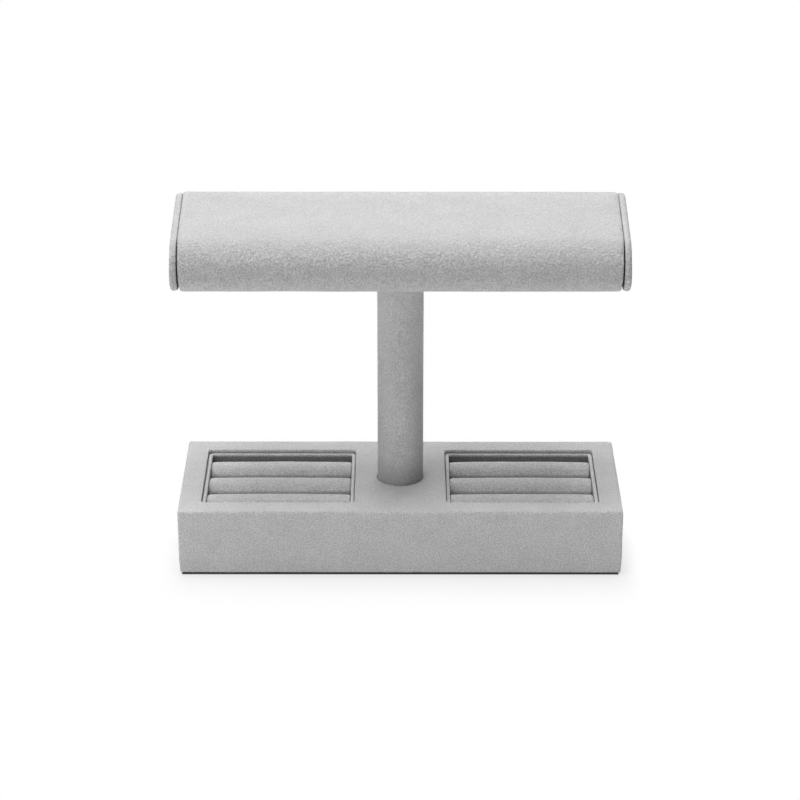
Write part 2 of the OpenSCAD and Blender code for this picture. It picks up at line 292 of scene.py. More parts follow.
def suede(name, colour, painted_shade, nap=(1, 1, 1), speckle_and_relief_shade=(3.2, 2.2)):
    """Short-pile fabric: cloudy patches, specks, a soft relief and painted shade. painted_shade
    holds what painted_depth_shade needs, where the colour is darkened as painted shade in
    recesses and gaps. nap stretches the clouds along the way that the pile was brushed.
    speckle_and_relief_shade is the specks' strength on upright faces and on those that look up."""
    material, tree, shader = node_material(name)
    shader.inputs["Roughness"].default_value = 0.93
    shader.inputs["Specular IOR Level"].default_value = 0.12
    shader.inputs["Sheen Weight"].default_value = 0.18
    shader.inputs["Sheen Roughness"].default_value = 0.6
    clouds = noise_field(tree, 95, 2, nap)
    patches = noise_field(tree, 330, 2, nap)
    specks = noise_field(tree, 1500, 2)
    grain = calc(tree, "SUBTRACT", weighted(tree, [(patches, 0.12), (specks, 1.0)]), 0.5)
    # The specks are stronger on upright faces than on those that look up: painted shading of the
    # relief under light that grazes them
    strength = ramp(tree, parts_of(tree, "Normal")[2], (0.35, 0.95), speckle_and_relief_shade)
    tone = calc(tree, "MULTIPLY_ADD", grain, strength, weighted(tree, [(clouds, 0.35)]))
    shade = tree.nodes.new("ShaderNodeVectorMath")
    shade.operation = "SCALE"
    tree.links.new(painted_depth_shade(tree, *painted_shade), shade.inputs["Scale"])
    tree.links.new(shade.outputs[0], shader.inputs["Base Color"])
    shades_of(tree, tone, colour, 0.8, 1.2, shade.inputs[0])
    bump(tree, shader, noise_field(tree, 1000, 0), 1.0, 0.0004)
    return material


def fibreboard(name, colour):
    """Board of pressed fibres."""
    material, tree, shader = node_material(name)
    shader.inputs["Roughness"].default_value = 0.8
    fibres = noise_field(tree, 900, 4, (1, 1, 2.5))
    clouds = noise_field(tree, 60, 2)
    tone = weighted(tree, [(fibres, 1.2), (clouds, 0.5)])
    shades_of(tree, tone, colour, 0.8, 1.2, shader.inputs["Base Color"])
    bump(tree, shader, fibres, 0.3, 0.0001)
    return material


def softwood(name, colour, grain):
    """Planed wood with its grain drawn out along one direction."""
    material, tree, shader = node_material(name)
    shader.inputs["Roughness"].default_value = 0.6
    rings = noise_field(tree, 160, 3, grain, 0.6)
    fibres = noise_field(tree, 1400, 3, grain)
    tone = weighted(tree, [(rings, 2.2), (fibres, 0.7)])
    shades_of(tree, tone, colour, 0.68, 1.18, shader.inputs["Base Color"])
    bump(tree, shader, fibres, 0.25, 0.00008)
    return material


def card(name, colour, roughness):
    """Card or stiff sheet with a fine tooth."""
    material, tree, shader = node_material(name)
    shader.inputs["Roughness"].default_value = roughness
    fibres = noise_field(tree, 1600, 3)
    clouds = noise_field(tree, 120, 2)
    tone = weighted(tree, [(fibres, 0.8), (clouds, 0.6)])
    shades_of(tree, tone, colour, 0.8, 1.2, shader.inputs["Base Color"])
    bump(tree, shader, fibres, 0.4, 0.0001)
    return material


def plated_steel(name, colour):
    """Bright plating with faint streaks along z."""
    material, tree, shader = node_material(name)
    shader.inputs["Metallic"].default_value = 1
    streaks = noise_field(tree, 900, 2, (1, 1, 0.15))
    shades_of(tree, streaks, colour, 0.85, 1, shader.inputs["Base Color"])
    tree.links.new(ramp(tree, streaks, (0, 1), (0.22, 0.38)), shader.inputs["Roughness"])
    return material


# Areas for painted_depth_shade, in metres, where the fabric gets painted shade: the base's
# wells and hole, the trays and the bar's seams. The painted shade of the trays' fabric stays
# inside them, because their outsides come into the light when they are lifted
WITHIN_BASE = (0, 0.095, 0.035)
WITHIN_TRAY = (0.0554, 0.0335, 0.0267)
WITHIN_SEAMS = (0.0972, 0.0004, 0.032)

# Painted shade: the walls of the wells and of the post's hole darken below the base's top
base_suede = suede("base_suede", (0.612, 0.607, 0.61),
                   painted_shade=(0.0296, 0.0314, 0.4, WITHIN_BASE))
# Painted shade: the post darkens towards its foot, where it goes into the base
post_suede = suede("post_suede", (0.588, 0.583, 0.586), nap=(1, 1, 0.6), speckle_and_relief_shade=(2.4, 1.4),
                   painted_shade=(0.0305, 0.0460, 0.66, WITHIN_BASE))
# Painted shade: the fabric in the seams beside the end caps is nearly black on the bar's lower part
bar_suede = suede("bar_suede", (0.542, 0.537, 0.54), nap=(0.5, 1, 1), speckle_and_relief_shade=(5.6, 1.8),
                  painted_shade=(0.1535, 0.1560, 0.12, WITHIN_SEAMS))
# Painted shade: the tray's inner walls darken just below its rim
tray_suede = suede("tray_suede", (0.63, 0.625, 0.628),
                   painted_shade=(0.0292, 0.0300, 0.38, WITHIN_TRAY))
# Painted shade: the rolls darken low down, in the creases between them
roll_suede = suede("roll_suede", (0.622, 0.617, 0.62), nap=(0.5, 1, 1), speckle_and_relief_shade=(4.2, 2.4),
                   painted_shade=(0.0260, 0.0274, 0.45, WITHIN_BASE))
board_look = fibreboard("fibreboard_look", (0.42, 0.30, 0.19))
end_board_look = card("end_board_look", (0.36, 0.34, 0.31), 0.85)
post_wood = softwood("post_wood", (0.72, 0.52, 0.32), (1, 1, 0.08))
bar_wood = softwood("bar_wood", (0.70, 0.50, 0.30), (0.08, 1, 1))
sheet_look = card("sheet_look", (0.03, 0.03, 0.032), 0.7)
card_look = card("card_look", (0.16, 0.16, 0.165), 0.85)
steel_look = plated_steel("steel_look", (0.72, 0.73, 0.74))

NODE_LOOKS = {
    "bottom_sheet": sheet_look,
    "bottom_board": board_look,
    "front_rail": board_look,
    "back_rail": board_look,
    "left_rail": board_look,
    "right_rail": board_look,
    "centre_block": board_look,
    "post_core": post_wood,
    "bar_core": bar_wood,
    "tie_rod": steel_look,
    "tie_washer": steel_look,
    "tie_nut": steel_look,
    "bar_insert": steel_look,
    "left_end_board": end_board_look,
    "right_end_board": end_board_look,
    "left_tray_box": card_look,
    "right_tray_box": card_look,
    "left_pad_board": card_look,
    "right_pad_board": card_look,
}
for node_name, look in NODE_LOOKS.items():
    for material_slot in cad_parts[node_name].material_slots:
        material_slot.material = look


# Base cover

BASE_GRID = 1.7
# Distance of the first grid line from the outer edges, past their rounding
BASE_BEND = 2.3
BASE_EDGE_R = 1.1
WELL_CORNER_R = 1.6
MOUTH_R = 0.45
FOOT_R = 0.5
# Width of the fabric turned in under the base
TURN_IN = 9.0
# The fabric's fold on the short sides: how far from the corner, how deep, and the height
# that it starts from
FOLD_IN = 3.4
FOLD_DEPTH = 0.55
FOLD_TOP = 24


def well_plan(side):
    """Plan of one well: lowest and highest x, and half its depth."""
    low, high = box_mm(f"{side}_tray_cover")
    return low.x - TRAY_GAP, high.x + TRAY_GAP, high.y + TRAY_GAP


def base_cover():
    """Fabric over the base, down into both wells and the post's hole, in under its edge."""
    low, high = box_mm("base_wrap")
    half_w, half_d, top, bottom = high.x, high.y, high.z, low.z
    floor = box_mm("left_tray_cover")[0].z
    wells = [well_plan(side) for side in SIDES]
    well_half_d = wells[0][2]
    bend = BASE_BEND
    x_marks = [-half_w, bend - half_w, half_w - bend, half_w, -POST_HOLE_R - 2, POST_HOLE_R + 2]
    x_marks += [x for well in wells for x in well[:2]]
    fold_y = half_d - FOLD_IN
    y_marks = [-half_d, bend - half_d, half_d - bend, half_d, -well_half_d, well_half_d]
    y_marks += [s * (fold_y + d) for s in (-1, 1) for d in (-0.35, 0, 0.35)]
    xs = even_lines(x_marks, BASE_GRID)
    ys = even_lines(y_marks, BASE_GRID)
    points, index, faces = [], {}, []

    def vid(x, y, z):
        """Number of the point at this place, which is made on its first use."""
        key = (round(x, 4), round(y, 4), round(z, 4))
        if key not in index:
            index[key] = len(points)
            points.append(key)
        return index[key]

    def in_well(x, y):
        return abs(y) < well_half_d and any(w[0] < x < w[1] for w in wells)

    for x0, x1 in zip(xs, xs[1:]):
        for y0, y1 in zip(ys, ys[1:]):
            if not in_well((x0 + x1) / 2, (y0 + y1) / 2):
                faces.append([vid(*p, top) for p in ((x0, y0), (x1, y0), (x1, y1), (x0, y1))])

    def loop(x0, x1, y0, y1):
        """Grid points along a rectangle, once round."""
        along_x = [x for x in xs if x0 - 1e-6 <= x <= x1 + 1e-6]
        along_y = [y for y in ys if y0 - 1e-6 <= y <= y1 + 1e-6]
        return ([(x, y0) for x in along_x] + [(x1, y) for y in along_y[1:]]
                + [(x, y1) for x in along_x[-2::-1]] + [(x0, y) for y in along_y[-2:0:-1]])

    def wall(plan, levels):
        """Upright faces along a closed plan, from level to level."""
        for z0, z1 in zip(levels, levels[1:]):
            for (xa, ya), (xb, yb) in zip(plan, plan[1:] + plan[:1]):
                faces.append([vid(xa, ya, z0), vid(xb, yb, z0), vid(xb, yb, z1), vid(xa, ya, z1)])

    outline = loop(-half_w, half_w, -half_d, half_d)
    wall(outline, even_lines([bottom, bottom + 1.6, top - bend, top], 1.8)[::-1])
    for low_x, high_x, _ in wells:
        wall(loop(low_x, high_x, -well_half_d, well_half_d),
             even_lines([floor, top - 1.6, top], 2.2)[::-1])
    shares = [0, 0.15, 0.5, 1]
    for s0, s1 in zip(shares, shares[1:]):
        hem = [(1 - s * TURN_IN / half_w, 1 - s * TURN_IN / half_d) for s in (s0, s1)]
        for (xa, ya), (xb, yb) in zip(outline, outline[1:] + outline[:1]):
            faces.append([vid(x * hem[k][0], y * hem[k][1], bottom)
                          for x, y, k in ((xa, ya, 0), (xb, yb, 0), (xb, yb, 1), (xa, ya, 1))])

    bm = bmesh.new()
    verts = [bm.verts.new(p) for p in points]
    for face in faces:
        bm.faces.new([verts[i] for i in face])
    bmesh.ops.recalc_face_normals(bm, faces=bm.faces)

    # The post's hole, with the fabric turned down into it
    near = [f for f in bm.faces if f.calc_center_median().z > top - 0.01
            and f.calc_center_median().xy.length < POST_HOLE_R + 0.75]
    bmesh.ops.delete(bm, geom=near, context="FACES")
    rim = [e for e in bm.edges if e.is_boundary and max(v.co.xy.length for v in e.verts) < 16]
    for vert in {v for e in rim for v in e.verts}:
        vert.co.xy = vert.co.xy.normalized() * POST_HOLE_R
    for drop in (1.2, 4.0):
        made = bmesh.ops.extrude_edge_only(bm, edges=rim)["geom"]
        for vert in [g for g in made if isinstance(g, bmesh.types.BMVert)]:
            vert.co.z = top - drop
        rim = [g for g in made if isinstance(g, bmesh.types.BMEdge)
               and all(abs(v.co.z - (top - drop)) < 1e-4 for v in g.verts)]

    def both(edge, test):
        return all(test(v.co) for v in edge.verts)

    def is_top(c):
        return abs(c.z - top) < 1e-4

    def outer_x(c):
        return abs(abs(c.x) - half_w) < 1e-3

    def outer_y(c):
        return abs(abs(c.y) - half_d) < 1e-3

    well_xs = [abs(x) for well in wells for x in well[:2]]

    def well_side(c):
        return abs(c.y) < well_half_d + 1e-3 and any(abs(abs(c.x) - x) < 1e-3 for x in well_xs)

    def well_end(c):
        return (abs(abs(c.y) - well_half_d) < 1e-3
                and min(well_xs) - 1e-3 < abs(c.x) < max(well_xs) + 1e-3)

    def upright(edge):
        a, b = (v.co for v in edge.verts)
        return (a - b).xy.length < 1e-4

    def is_bottom(c):
        return abs(c.z - bottom) < 1e-4

    def outside(edge):
        return both(edge, outer_x) or both(edge, outer_y)

    outer = [e for e in bm.edges
             if (both(e, is_top) and outside(e))
             or (upright(e) and both(e, outer_x) and both(e, outer_y))]
    well_corners = [e for e in bm.edges if upright(e) and both(e, well_side) and both(e, well_end)]
    feet = [e for e in bm.edges if both(e, is_bottom) and outside(e)]

    def steepness(edge):
        return sorted(abs(f.normal.z) for f in edge.link_faces)

    bevel(bm, well_corners, WELL_CORNER_R, 4)
    bm.normal_update()
    mouths = [e for e in bm.edges if both(e, is_top) and steepness(e)[0] < 0.5 < steepness(e)[-1]
              and not outside(e)]
    bevel(bm, outer, BASE_EDGE_R, 4)
    bevel(bm, mouths, MOUTH_R, 3)
    bevel(bm, feet, FOOT_R, 2)
    bmesh.ops.recalc_face_normals(bm, faces=bm.faces)
    bm.normal_update()

    # Small unevenness, the fold on the short sides, and corners that draw in towards the foot
    moves = []
    for vert in bm.verts:
        c = vert.co
        soft = 0.10 * ripple(*c, 26, 3.1) + 0.05 * ripple(*c, 9, 7.7)
        if abs(c.z) < bottom + 0.3 or in_well(c.x * 0.999, c.y * 0.999):
            soft *= 0.4
        shift = vert.normal * soft
        fold = abs(abs(c.x) - half_w) < 0.3 and abs(abs(c.y) - fold_y) < 0.1 and c.z > bottom + 0.2
        if fold:
            shift = shift + vert.normal * (-FOLD_DEPTH * clipped((FOLD_TOP - c.z) / 6))
        corner = max(0, abs(c.x) - half_w + 6) / 6 * max(0, abs(c.y) - half_d + 6) / 6
        low_part = max(0, 1 - (c.z - bottom) / 9)
        shift.x -= math.copysign(0.5 * corner * low_part ** 2, c.x)
        moves.append((vert, shift))
    for vert, shift in moves:
        vert.co += shift
    if not any(f.normal.z > 0.9 and f.calc_center_median().z > top - 1 for f in bm.faces):
        bmesh.ops.reverse_faces(bm, faces=bm.faces)
    for vert in bm.verts:
        vert.co *= MM
    mesh = bpy.data.meshes.new("base_cover")
    bm.to_mesh(mesh)
    bm.free()
    piece = linked("base_cover", mesh)
    thicken(piece, 0.45)
    place(piece, "stand", "base_fabric", base_suede, "base_wrap")


base_cover()


# Post cover


def post_cover():
    """Fabric tube round the post, with its seam at the back and its top cut to the bar."""
    low, high = box_mm("post_sleeve")
    radius = high.x
    seam = math.pi / 2
    angles = even_lines([seam + d for d in (-0.08, -0.03, 0, 0.03, 0.08, TAU - 0.08)], 0.085)[:-1]
    top_mid = BAR_MIDDLE - BAR_CORE_R / math.cos(BAR_TILT) - 0.15
    levels = even_lines([low.z, top_mid - 3, top_mid], 2.0)
    points = []
    for level in levels:
        share = max(0, (level - top_mid + 3) / 3)
        for angle in angles:
            from_seam = abs((angle - seam + math.pi) % TAU - math.pi) * radius
            groove = 0.35 * math.exp(-(from_seam / 0.22) ** 2)
            x, y = math.cos(angle), math.sin(angle)
            r = radius - groove + 0.05 * ripple(x * radius, y * radius, level, 14, 5.2)
            z = level + share * y * radius * math.tan(BAR_TILT)
            points.append((x * r, y * r, z))
    piece = mesh_piece("post_cover", points, ring_faces(len(levels), len(angles)))
    thicken(piece, 0.5)
    place(piece, "stand", "post_fabric", post_suede, "post_sleeve")


post_cover()


# Bar

# Steps round a nose and greatest step along a flat, the same for the cover and the caps
NOSE_STEPS = 34
FLAT_STEP = 1.3
# The seam under the bar, where the fabric's edges meet
BAR_SEAM = 13.0
SEAM_DEPTH = 0.5
# Nose radius of the bar's cover before it swells
COVER_R = BAR_R + 0.05
# How far the cover draws in towards its ends, and over what length
DRAW_IN, DRAW_LEN = 0.7, 3.0
# How far the cover keeps from the end caps on its top and on the lower half of its front
GAP_TOP, GAP_FRONT = 0.06, 0.62


def at_bar(x, y, z):
    """Place in the part's frame of a point given in the leaning bar's own frame."""
    c, s = math.cos(BAR_TILT), math.sin(BAR_TILT)
    return x, y * c - z * s, y * s + z * c + BAR_MIDDLE


def front_share(y, z):
    """0 on the bar's flat top and its back, 1 on the lower half of its front."""
    return clipped((BAR_R * 0.62 - z) / (BAR_R * 0.9)) * clipped((BAR_FLAT / 2 - y) / BAR_FLAT)


def straight_out(y, z):
    """Direction straight out of the bar's section at a point, as (y, z)."""
    past_flat = max(abs(y) - BAR_FLAT / 2, 0)
    size = math.hypot(past_flat, z) or 1
    return math.copysign(past_flat, y) / size, z / size


def bar_outline(radius, seam_depth=None):
    """Section of the bar with this nose radius as [(y, z)], from the back of its
    underside. Without a depth, the seam's own points are left out."""
    half = BAR_FLAT / 2
    marks = [-half, half]
    if seam_depth is not None:
        marks += [BAR_SEAM + d for d in (-0.7, -0.25, 0, 0.25, 0.7)]
    under = even_lines(marks, FLAT_STEP)[::-1]
    outline = [(y, (seam_depth or 0) * math.exp(-((y - BAR_SEAM) / 0.22) ** 2) - radius)
               for y in under[:-1]]
    turns = [math.pi * i / NOSE_STEPS for i in range(NOSE_STEPS)]
    outline += [(-half - radius * math.sin(a), -radius * math.cos(a)) for a in turns]
    outline += [(y, radius) for y in even_lines([-half, half], FLAT_STEP)[:-1]]
    outline += [(half + radius * math.sin(a), radius * math.cos(a)) for a in turns]
    return outline


def bar_cover():
    """Fabric over the bar's padding, drawn in at its ends and turned in behind the caps."""
    low, _ = box_mm("bar_wrap")
    end = -low.x
    stations = even_lines([-end, DRAW_LEN - end, end - DRAW_LEN, end], 1.5)
    fine = [end - DRAW_LEN * (1 - math.cos(math.pi / 2 * k / 5)) for k in range(6)]
    middle = [x for x in stations if abs(x) < end - DRAW_LEN - 0.1]
    stations = [-x for x in fine] + middle + fine[::-1]
    count = len(bar_outline(COVER_R, SEAM_DEPTH))
    points, freedom = [], []
    inner = [BAR_R - DRAW_IN - 0.9, BAR_CORE_R + 0.5]
    lining_x, lining_r = end + 0.19, BAR_CORE_R + 0.35

    def from_cap(x):
        """Distance of a section from the nearer end of the cover."""
        return end - abs(x)

    def add_ring(x, radius, wave):
        """One section of the cover. wave is 1 where it is in sight and 0 where it isn't."""
        for y, z in bar_outline(radius, SEAM_DEPTH if wave else 0):
            out_y, out_z = straight_out(y, z)
            edge = clipped(1 - from_cap(x) / 7)
            fan = clipped(1 - from_cap(x) / 13)
            soft = wave * (0.10 * ripple(x, y, z, 30, 1.3) + 0.05 * ripple(x, y, z, 11, 9.1)
                           + 0.16 * edge ** 2 * ripple(math.copysign(40, x), y, z, 3.6, 4.4)
                           + 0.24 * fan ** 2 * ripple(x / 5, y, z, 2.4, 7.9))
            pulled = GAP_TOP + (GAP_FRONT - GAP_TOP) * front_share(y, z)
            pulled *= 1 + 0.5 * ripple(math.copysign(70, x), y, z, 2.8, 2.9)
            back = 0 if abs(x) > end else clipped(1 - from_cap(x) / 2.0) * pulled
            points.append(at_bar(x - math.copysign(back, x), y + out_y * soft, z + out_z * soft))
            at_seam = abs(y - BAR_SEAM) < 2 and z < 0
            freedom.append(wave * (1 - edge) * (0.15 if at_seam else 1.0))

    add_ring(-lining_x, lining_r, 0)
    for radius in inner[::-1]:
        add_ring(-end, radius, 0)
    for x in stations:
        share = min(from_cap(x) / DRAW_LEN, 1)
        add_ring(x, COVER_R - DRAW_IN * (1 - math.sqrt(max(0, 1 - (1 - share) ** 2))), 1)
    for radius in inner:
        add_ring(end, radius, 0)
    add_ring(lining_x, lining_r, 0)
    piece = mesh_piece("bar_cover", points, ring_faces(len(points) // count, count))
    swell(piece, freedom, 11.0, 0.35)

    # The post's hole in the underside, with the fabric turned up into it
    bm = bmesh.new()
    bm.from_mesh(piece.data)
    bm.normal_update()
    hole = POST_HOLE_R * MM
    near = [f for f in bm.faces if f.normal.z < -0.7
            and f.calc_center_median().xy.length < hole + 0.5 * MM]
    bmesh.ops.delete(bm, geom=near, context="FACES")
    rim = [e for e in bm.edges if e.is_boundary and max(v.co.xy.length for v in e.verts) < 16 * MM]
    for vert in {v for e in rim for v in e.verts}:
        vert.co.xy = vert.co.xy.normalized() * hole
        vert.co.z = (BAR_MIDDLE - BAR_R / math.cos(BAR_TILT)) * MM + vert.co.y * math.tan(BAR_TILT)
    edge = rim
    for rise in (1.0, 2.4):
        made = bmesh.ops.extrude_edge_only(bm, edges=edge)["geom"]
        new = {g for g in made if isinstance(g, bmesh.types.BMVert)}
        for vert in new:
            vert.co.z += rise * MM
        edge = [g for g in made if isinstance(g, bmesh.types.BMEdge) and set(g.verts) <= new]
    bevel(bm, rim, MOUTH_R * MM, 2)
    bm.to_mesh(piece.data)
    bm.free()
    piece.data.polygons.foreach_set("use_smooth", [True] * len(piece.data.polygons))
    thicken(piece, 0.5)
    place(piece, "stand", "bar_fabric", bar_suede, "bar_wrap", "bar_foam")


bar_cover()


CAP_EDGE_R = 1.5
# How far a cap bulges sideways and outwards on the lower half of its front
CAP_BULGE, CAP_BULGE_OUT = 0.3, 0.35


def end_cap(side):
    """Fabric over an end board: flat face, rounded rim, edge turned over the back."""
    low, high = box_mm(f"{side}_end_wrap")
    sign = -1 if side == LEFT else 1
    inner_x = min(abs(low.x), abs(high.x))
    outer_x = inner_x + CAP_T
    # From behind, over the rim and to the middle of the face, as (x, nose radius)
    profile = [(inner_x, BAR_CORE_R), (inner_x, CAP_R - 1.4), (inner_x + 0.04, CAP_R - 0.55),
               (inner_x + 0.18, CAP_R - 0.2), (inner_x + 0.45, CAP_R - 0.03)]
    profile += [(inner_x + d, CAP_R) for d in (0.8, 1.4)]
    for k in range(7):
        a = math.pi / 2 * k / 6
        profile.append((outer_x - CAP_EDGE_R * (1 - math.sin(a)),
                        CAP_R - CAP_EDGE_R * (1 - math.cos(a))))
    profile += [(outer_x + 0.04, r) for r in (10.4, 9.2, 7.6, 6.0, 4.4, 2.8, 1.4, 0.5)]
    count = len(bar_outline(CAP_R))
    points = []
    for step, (x, radius) in enumerate(profile):
        for y, z in bar_outline(radius):
            out_y, out_z = straight_out(y, z)
            soft = 0.07 * ripple(sign * 50, y, z, 9, 2.6) + 0.04 * ripple(sign * 50, y, z, 3.2, 8.3)
            if step < 2:
                soft = 0
            flat = clipped((step - 11) / 4)
            outer_share = clipped(x - inner_x - 0.5)
            depth = flat * 0.06 * ripple(sign * 90, y, z, 13, 6.1)
            depth += outer_share * CAP_BULGE * front_share(y, z)
            soft += outer_share * CAP_BULGE_OUT * front_share(y, z)
            points.append(at_bar(sign * (x + depth), y + out_y * soft * (1 - flat),
                                 z + out_z * soft * (1 - flat)))
    faces = ring_faces(len(profile), count)
    last = (len(profile) - 1) * count
    flat_count = len(even_lines([-BAR_FLAT / 2, BAR_FLAT / 2], FLAT_STEP)) - 1
    under = [last + i for i in range(flat_count + 1)]
    over = [last + flat_count + NOSE_STEPS + i for i in range(flat_count + 1)][::-1]
    for i in range(flat_count):
        faces.append((under[i], under[i + 1], over[i + 1], over[i]))
    for start in (flat_count, 2 * flat_count + NOSE_STEPS):
        faces.append([last + (start + i) % count for i in range(NOSE_STEPS + 1)])
    piece = mesh_piece(f"{side}_end_cover", points, faces)
    thicken(piece, 0.45)
    place(piece, "stand", "bar_fabric", bar_suede, f"{side}_end_wrap")


for side in SIDES:
    end_cap(side)


# Trays

# How far the soft fabric stands out past the tray's solid
TRAY_SPARE = 0.15


def tray_skin(side):
    """Fabric over the walls of a tray, mitred at its corners, with a half-round rim."""
    low, high = box_mm(f"{side}_tray_cover")
    wall = TRAY_WALL + 0.25
    mid = (low.x + high.x) / 2
    run_w = high.x - low.x + 2 * TRAY_SPARE - wall
    run_d = high.y - low.y + 2 * TRAY_SPARE - wall
    bend = wall / 2 + 0.3
    # Along the middle of the walls: place, way outwards, and whether a mitre runs there
    plan = []
    for turn in range(4):
        quarter = math.pi / 2 * turn
        corner_x = math.copysign(run_w / 2 - bend, math.cos(quarter - math.pi / 4))
        corner_y = math.copysign(run_d / 2 - bend, math.sin(quarter - math.pi / 4))
        for k in range(7):
            a = quarter - math.pi / 2 + math.pi / 2 * k / 6
            plan.append((corner_x + bend * math.cos(a), corner_y + bend * math.sin(a),
                         math.cos(a), math.sin(a), abs(k - 3) < 1))
        nx, ny = math.cos(quarter), math.sin(quarter)
        length = (run_d if turn % 2 == 0 else run_w) - 2 * bend
        steps = int(length / 1.8)
        for k in range(1, steps):
            t = -length / 2 + length * k / steps
            base_x, base_y = nx * run_w / 2, ny * run_d / 2
            plan.append((base_x - ny * t, base_y + nx * t, nx, ny, False))
    # From the outside's foot over the rim to the inside's foot, as (outwards, height)
    rim_mid = high.z - wall / 2
    outside = even_lines([low.z, rim_mid - 0.8, rim_mid], 2.5)
    inside = even_lines([low.z + 1.5, rim_mid - 0.8, rim_mid], 2.5)
    profile = [(wall / 2, z) for z in outside[:-1]]
    for k in range(13):
        across, rise = math.cos(math.pi * k / 12), math.sin(math.pi * k / 12)
        profile.append((wall / 2 * math.copysign(abs(across) ** 0.6, across),
                        rim_mid + wall / 2 * rise ** 0.8))
    profile += [(-wall / 2, z) for z in inside[-2::-1]]
    points = []
    for x, y, nx, ny, mitre in plan:
        for out, z in profile:
            across = out / (wall / 2)
            top_share = max(0, 1 - abs(across)) if z > rim_mid else 0
            soft = 0.06 * ripple(x, y, z, 12, 4.7 if side == LEFT else 6.2)
            dip = 0.18 * min(1, 3 * top_share) if mitre else 0
            spread = out + soft * (1 if out > 0 else -1) * (0.6 if abs(across) > 0.2 else 0)
            points.append((mid + x + nx * spread, y + ny * spread, z - dip + soft * top_share))
    faces = []
    count = len(profile)
    for a in range(len(plan)):
        b = (a + 1) % len(plan)
        for k in range(count - 1):
            faces.append((a * count + k, b * count + k, b * count + k + 1, a * count + k + 1))
    piece = mesh_piece(f"{side}_tray_skin", points, faces)
    bm = bmesh.new()
    bm.from_mesh(piece.data)
    bm.normal_update()
    outward = sum(f.normal.z for f in bm.faces if f.calc_center_median().z > (high.z - 0.3) * MM)
    if outward < 0:
        bmesh.ops.reverse_faces(bm, faces=bm.faces)
        bm.to_mesh(piece.data)
    bm.free()
    thicken(piece, 0.3)
    place(piece, f"{side}_tray", "tray_fabric", tray_suede, f"{side}_tray_cover")


# Height and roundness of a roll's crown, how far its foot is tucked in, and its ends' rounding
ROLL_SHOULDER = 7.5
ROLL_POWER = 2.1
ROLL_FOOT_IN = 0.3
ROLL_END_R = 0.9


def roll_cover(side, number):
    """One ring roll: fabric round a foam bar, swollen over its top and tucked in below."""
    low, high = box_mm(f"{side}_roll_{number}")
    mid_x, mid_y = (low.x + high.x) / 2, (low.y + high.y) / 2
    half_l, half_w = (high.x - low.x) / 2, (high.y - low.y) / 2
    height = high.z - low.z
    seed = number * 2.3 + (0 if side == LEFT else 11.7)

    def section(inset, lowered):
        """Section as [(y, z)]: its foot, one side, the crown and the other side."""
        foot, half = half_w - ROLL_FOOT_IN - inset, half_w - inset
        waist = height - ROLL_SHOULDER - lowered
        side_line = [(foot + (half - foot) * k / 10, inset + (waist - inset) * k / 10)
                     for k in range(10)]
        outline = [(-foot + 2 * foot * k / 9, inset) for k in range(9)] + side_line
        for k in range(29):
            c, s = math.cos(math.pi * k / 28), math.sin(math.pi * k / 28)
            outline.append((half * math.copysign(abs(c) ** (2 / ROLL_POWER), c),
                            waist + (ROLL_SHOULDER - inset) * abs(s) ** (2 / ROLL_POWER)))
        return outline + [(-y, z) for y, z in side_line[:0:-1]]

    ends = [half_l - ROLL_END_R * (1 - math.cos(math.pi / 2 * k / 5)) for k in range(6)]
    middle = even_lines([-half_l + ROLL_END_R, half_l - ROLL_END_R], 1.1)[1:-1]
    stations = [-x for x in ends] + middle + ends[::-1]
    count = len(section(0, 0))
    points, freedom = [], []
    for x in stations:
        from_end = half_l - abs(x)
        share = min(from_end / ROLL_END_R, 1)
        inset = ROLL_END_R / 2 * (1 - math.sqrt(max(0, 1 - (1 - share) ** 2)))
        # The crown lies a little lower at the ends than in the middle
        sag = 0.62 - 0.18 * (1 - (x / half_l) ** 2)
        for y, z in section(inset, sag):
            soft = 0.10 * ripple(x, y, z, 14, seed) + 0.05 * ripple(x, y, z, 5, seed + 3)
            top = clipped((z - (height - ROLL_SHOULDER - 3)) / 4)
            points.append((mid_x + x, mid_y + y, low.z + z + soft * top))
            edge = min(from_end / 5, 1)
            freedom.append(top * (0.25 + 0.75 * edge))
    faces = ring_faces(len(stations), count)
    faces.append(list(range(count)))
    last = (len(stations) - 1) * count
    faces.append([last + i for i in range(count)])
    piece = mesh_piece(f"{side}_roll_cover_{number}", points, faces)
    before = [v.co.y for v in piece.data.vertices]
    swell(piece, freedom, 240.0, 0.6)
    # A roll swells upwards: its neighbours keep it from spreading
    for vertex, start in zip(piece.data.vertices, before):
        vertex.co.y = start + max(min(vertex.co.y - start, 0.05 * MM), -0.05 * MM)
    place(piece, f"{side}_tray", "roll_fabric", roll_suede,
          f"{side}_roll_{number}", f"{side}_roll_foam_{number}")


for side in SIDES:
    tray_skin(side)
    for number in (1, 2, 3):
        roll_cover(side, number)


# Floor, light and camera

# Share of plain white that the camera sees in the floor: at the part's front, further out
SHOWN_WHITE = (0.62, 1.0)
# The area that keeps its shadow: middle, half of its size, and how much faster the white
# comes in sideways than forwards, all in metres, and the distance where all of it is there
SHADE_MIDDLE = (0, -0.0255, 0)
SHADE_HALF = (0.100, 0.0125, 0)
SHADE_STEEPNESS = (3.2, 1, 0)
SHADE_REACH = 0.032


def seen_directly(tree):
    """1 for rays of the camera, of reflections and through glass, 0 for light."""
    path = tree.nodes.new("ShaderNodeLightPath")
    total = path.outputs["Is Camera Ray"]
    for name in ("Is Glossy Ray", "Is Transmission Ray"):
        total = calc(tree, "MAXIMUM", total, path.outputs[name])
    return total


